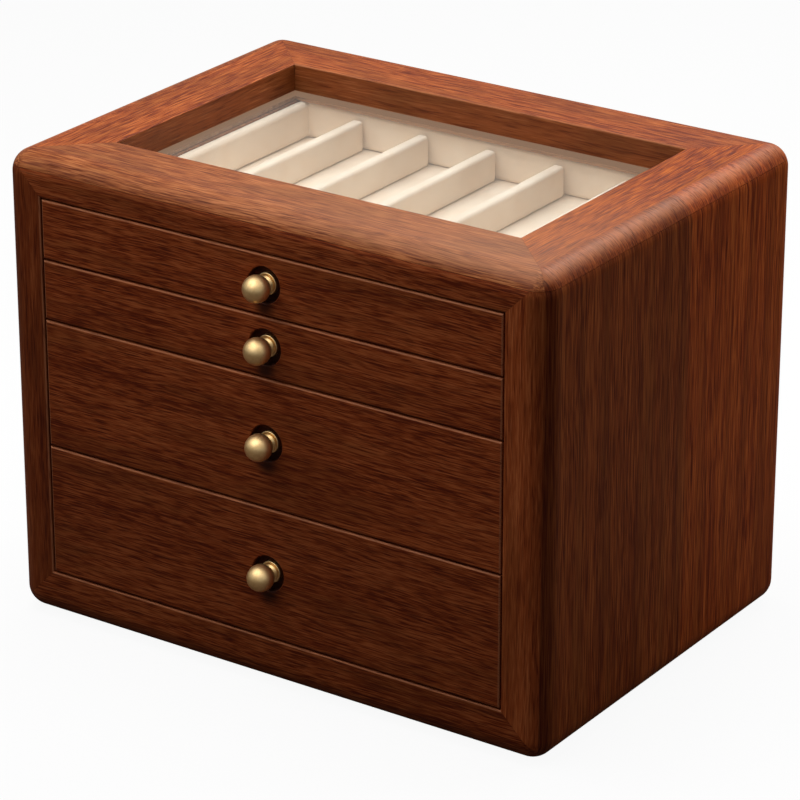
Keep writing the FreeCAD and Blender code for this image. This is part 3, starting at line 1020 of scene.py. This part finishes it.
def skinned(form, rings):                    # walls between the rings, and a cap on the first and last
    for near, far in zip(rings, rings[1:]):
        for index in range(len(near)):
            after = (index + 1) % len(near)
            form.faces.new((near[index], near[after], far[after], far[index]))
    form.faces.new(rings[0])
    form.faces.new(rings[-1])


# The velvet lining of a drawer: one skin over card, rolled over at the top, soft in its corners
liningLook = {
    "thick": 1.0,
    "outerCorner": 0.8,
    "innerCorner": 2.6,
    "leastCorner": 0.3,
    "cornerLoss": 0.9,       # how fast the corners grow tighter across the floor
    "cove": 1.2,             # where the walls meet the floor
    "roll": 0.45,
    "rollSteps": 8,
    "coveSteps": 6,
}


# Points of the lining's section: how far in from the drawer's wall, and how high
def liningProfile(look, low, high, halfY):
    thick = look["thick"]
    profile = [(0.0, low), (0.0, high - look["roll"])]
    for step in range(1, look["rollSteps"] + 1):
        turn = math.pi * step / look["rollSteps"]
        profile.append((thick / 2 * (1 - math.cos(turn)), high - look["roll"] * (1 - math.sin(turn))))
    floor = low + thick
    for step in range(look["coveSteps"] + 1):
        turn = math.pi / 2 * step / look["coveSteps"]
        cove = look["cove"]
        profile.append((thick + cove * (1 - math.cos(turn)), floor + cove * (1 - math.sin(turn))))
    inset = thick + look["cove"]
    for share in (0.25, 0.5, 0.75):
        profile.append((inset + share * (halfY - inset), floor))
    return profile


def makeLining(number, look):
    node = "drawer_%d_lining" % number
    low, high = [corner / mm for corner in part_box(node)]
    halfX = (high.x - low.x) / 2
    halfY = (high.y - low.y) / 2
    form = bmesh.new()
    rings = []
    for inward, z in liningProfile(look, low.z, high.z, halfY):
        inner = min(1.0, inward / look["thick"])
        radius = look["outerCorner"] + (look["innerCorner"] - look["outerCorner"]) * inner
        if inward > look["thick"]:
            radius = look["innerCorner"] + look["cove"] - (inward - look["thick"]) * look["cornerLoss"]
            radius = max(look["leastCorner"], radius)
        radius = min(radius, halfY - inward)
        rings.append(roundedRing(form, halfX - inward, halfY - inward, radius, (high.y + low.y) / 2, z))
    skinned(form, rings)
    adoptPad(addMesh("velvetLining%d" % number, form, velvet), "drawer_%d" % number, node)


for number in drawers:
    makeLining(number, liningLook)


# The felt that the box stands on, cut with small round corners
feltSheetLook = {"corner": 4.0, "edge": 0.25}


def makeFelt(look):
    low, high = [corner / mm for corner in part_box("base_felt")]
    edge = look["edge"]
    form = bmesh.new()
    rings = []
    for inward, z in ((edge, low.z), (0.0, low.z + edge), (0.0, high.z - edge), (edge, high.z)):
        rings.append(roundedRing(form, high.x - inward, high.y - inward, look["corner"], 0.0, z))
    skinned(form, rings)
    sheet = addMesh("feltSheet", form, felt)
    adopt(sheet, "case", "base_felt")


makeFelt(feltSheetLook)
print("stage: the velvet tray, the drawer linings and the felt are in")


# Clear glass: a bright film that thickens at a low angle, so that light from above goes straight
# through. Its ground edge and the beads' top glow a little: painted light, emission that brightens
# the shaded band under the pane's edge.
glassLook = {
    "film": 0.11,
    "tint": rgb(0.985, 0.99, 0.985),
    "white": rgb(0.90, 0.84, 0.76),
    "rough": 0.06,
    "glow": rgb(0.23, 0.125, 0.070),
    "groundEdge": (0.05, 0.03),          # millimetres in from the pane's edge
    "beadTop": (0.06, 0.04),             # millimetres down from the beads' top
}


def addGlow(material, share, colour):        # light from the surface where `share` is 1
    tree = material.node_tree
    outlet = tree.nodes["Material Output"].inputs["Surface"]
    surface = Wire(tree, outlet.links[0].from_socket)
    glow = share.make("ShaderNodeEmission", {}, {"Color": colour, "Strength": 1.0})
    both = share.make("ShaderNodeMixShader", {}, {0: share, 1: surface, 2: glow})
    tree.links.new(both.socket, outlet)


def glassMaterial(look):
    material, shader, place = startMaterial("clearGlass")
    shader.inputs["Base Color"].default_value = look["white"]
    shader.inputs["Roughness"].default_value = look["rough"]
    tree = material.node_tree
    facing = place.make("ShaderNodeLayerWeight", {}, {"Blend": 0.5}, "Facing")
    clear = place.make("ShaderNodeBsdfTransparent", {}, {"Color": look["tint"]})
    film = Wire(tree, shader.outputs[0])
    pane = place.make("ShaderNodeMixShader", {}, {0: facing * look["film"], 1: clear, 2: film})
    tree.links.new(pane.socket, tree.nodes["Material Output"].inputs["Surface"])
    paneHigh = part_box("lid_glass")[1]
    on = place.axes()
    start, end = look["groundEdge"]
    outX = abs(on["X"]) - (paneHigh.x - start * mm)
    outY = abs(on["Y"]) - (paneHigh.y - start * mm)
    addGlow(material, outX.most(outY).step(0.0, (start - end) * mm), look["glow"])
    return material


# The glazing beads: pale calm wood with a painted glow along its top
beadLook = dict(innerLook, fineness=0.3, pores=0.06)
# a pale grey tint that, with the glow, paints light into the shaded band under the pane
beadCut = (37.0, (1.2, 1.75, 2.55))


def beadMaterial(look):
    material = veneer("beadWood", board("X", *beadCut, beadLook), beadLook)
    height = ownPlace(material.node_tree).axes()["Z"]
    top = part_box("glass_beads")[1].z
    start, end = look["beadTop"]
    addGlow(material, height.step(top - start * mm, top - end * mm), look["glow"])
    return material


dress(beadMaterial(glassLook), "glass_beads")
dress(glassMaterial(glassLook), "lid_glass")
print("stage: the pane is in its beads")


# The camera of the photograph: three quarters from the right, a long lens
cameraLook = {
    "azimuth": 34.325,
    "elevation": 22.951,
    "distance": 1.8767,
    "lens": 176.38,
    "sensor": 36.0,
    "lookAt": (0.0, 0.0, 0.105),
    "nudge": (-0.000375, 0.001962),      # of the aim, to the right and up, in metres
}


def makeCamera(look):
    azimuth = math.radians(look["azimuth"])
    elevation = math.radians(look["elevation"])
    flat = math.cos(elevation)
    back = Vector((math.sin(azimuth) * flat, -math.cos(azimuth) * flat, math.sin(elevation)))
    right = Vector((math.cos(azimuth), math.sin(azimuth), 0.0))
    up = back.cross(right)
    aim = Vector(look["lookAt"]) + right * look["nudge"][0] + up * look["nudge"][1]
    data = bpy.data.cameras.new("photoCamera")
    data.lens = look["lens"]
    data.sensor_width = look["sensor"]
    camera = addObject("photoCamera", data)
    camera.location = aim + back * look["distance"]
    camera.rotation_euler = (-back).to_track_quat("-Z", "Y").to_euler()
    bpy.context.scene.camera = camera


# Soft studio light: one large lamp above, one high in front, one behind for the edges' gloss and a
# small one that lights the rear of the right side
lampLook = {
    "overhead": {"place": (-0.15, 0.00, 1.10), "size": 0.60, "watts": 6.2, "gloss": False},
    "frontLeft": {"place": (-0.23, -0.60, 0.97), "size": 1.00, "watts": 3.6, "gloss": True},
    "behind": {"place": (0.00, 0.95, 1.05), "size": 0.60, "watts": 5.0, "gloss": True},
    "sideRear": {"place": (0.45, 0.50, 0.45), "size": 0.30, "watts": 1.25, "gloss": False},
}
lampAim = Vector((0.0, 0.0, 0.12))


def makeLamp(name, look):
    data = bpy.data.lights.new(name, "AREA")
    data.size = look["size"]
    data.energy = look["watts"]
    lamp = addObject(name, data)
    lamp.location = look["place"]
    lamp.visible_camera = False
    lamp.visible_glossy = look["gloss"]
    lamp.rotation_euler = (lampAim - lamp.location).to_track_quat("-Z", "Y").to_euler()


white = rgb(1.0, 1.0, 1.0)
roomLook = {
    "fill": 0.10,
    "level": 0.40,                       # how bright the room looks in gloss and metal
    "overhead": 1.05,
    "rise": (0.25, 0.95),                # the heights between which it brightens
    "floor": rgb(0.07, 0.067, 0.064),    # to light that bounces off it
    "mirroredFloor": rgb(0.16, 0.122, 0.10),
    "shade": 0.07,                       # how much of a shadow shows on the white floor
    "floorRadius": 6.0,
}


def rayKinds(tree):                          # seen by the camera or through the pane, and in gloss
    rays = tree.nodes.new("ShaderNodeLightPath").outputs
    seen = Wire(tree, rays["Is Camera Ray"]).most(Wire(tree, rays["Is Transmission Ray"]))
    return seen, Wire(tree, rays["Is Glossy Ray"])


# The world and the floor look white to the camera and through glass, and darker in reflections
def makeWorld(look):
    world = bpy.data.worlds.new("studio")
    bpy.context.scene.world = world
    world.use_nodes = True
    tree = world.node_tree
    seen, glossy = rayKinds(tree)
    toward = Wire(tree, tree.nodes.new("ShaderNodeTexCoord").outputs["Generated"])
    rise = toward.axes()["Z"].step(*look["rise"])
    mirrored = look["level"] + rise * (look["overhead"] - look["level"])
    strength = look["fill"] + glossy * (mirrored - look["fill"])
    strength = strength + seen * (1.0 - strength)
    tree.links.new(strength.socket, tree.nodes["Background"].inputs["Strength"])
    tree.nodes["Background"].inputs["Color"].default_value = white


def makeFloor(look):
    disc = bmesh.new()
    bmesh.ops.create_circle(disc, cap_ends=True, segments=64, radius=look["floorRadius"])
    mesh = bpy.data.meshes.new("studioFloor")
    disc.to_mesh(mesh)
    disc.free()
    floor = addObject("studioFloor", mesh)
    material, shader, place = startMaterial("studioFloor")
    shader.inputs["Roughness"].default_value = 1.0
    shader.inputs["Specular IOR Level"].default_value = 0.0
    tree = material.node_tree
    seen, glossy = rayKinds(tree)
    bounced = glossy.mix(look["floor"], look["mirroredFloor"])
    feed(shader, "Base Color", seen.mix(bounced, white))
    bright = place.make("ShaderNodeEmission", {}, {"Color": white, "Strength": 1.0})
    both = place.make("ShaderNodeMixShader", {}, {
        0: seen * (1.0 - look["shade"]), 1: Wire(tree, shader.outputs[0]), 2: bright})
    tree.links.new(both.socket, tree.nodes["Material Output"].inputs["Surface"])
    mesh.materials.append(material)


makeCamera(cameraLook)
for name, look in lampLook.items():
    makeLamp(name, look)
makeWorld(roomLook)
makeFloor(roomLook)
bpy.context.scene.view_settings.view_transform = "Standard"
print("stage: camera, lamps and room are set")
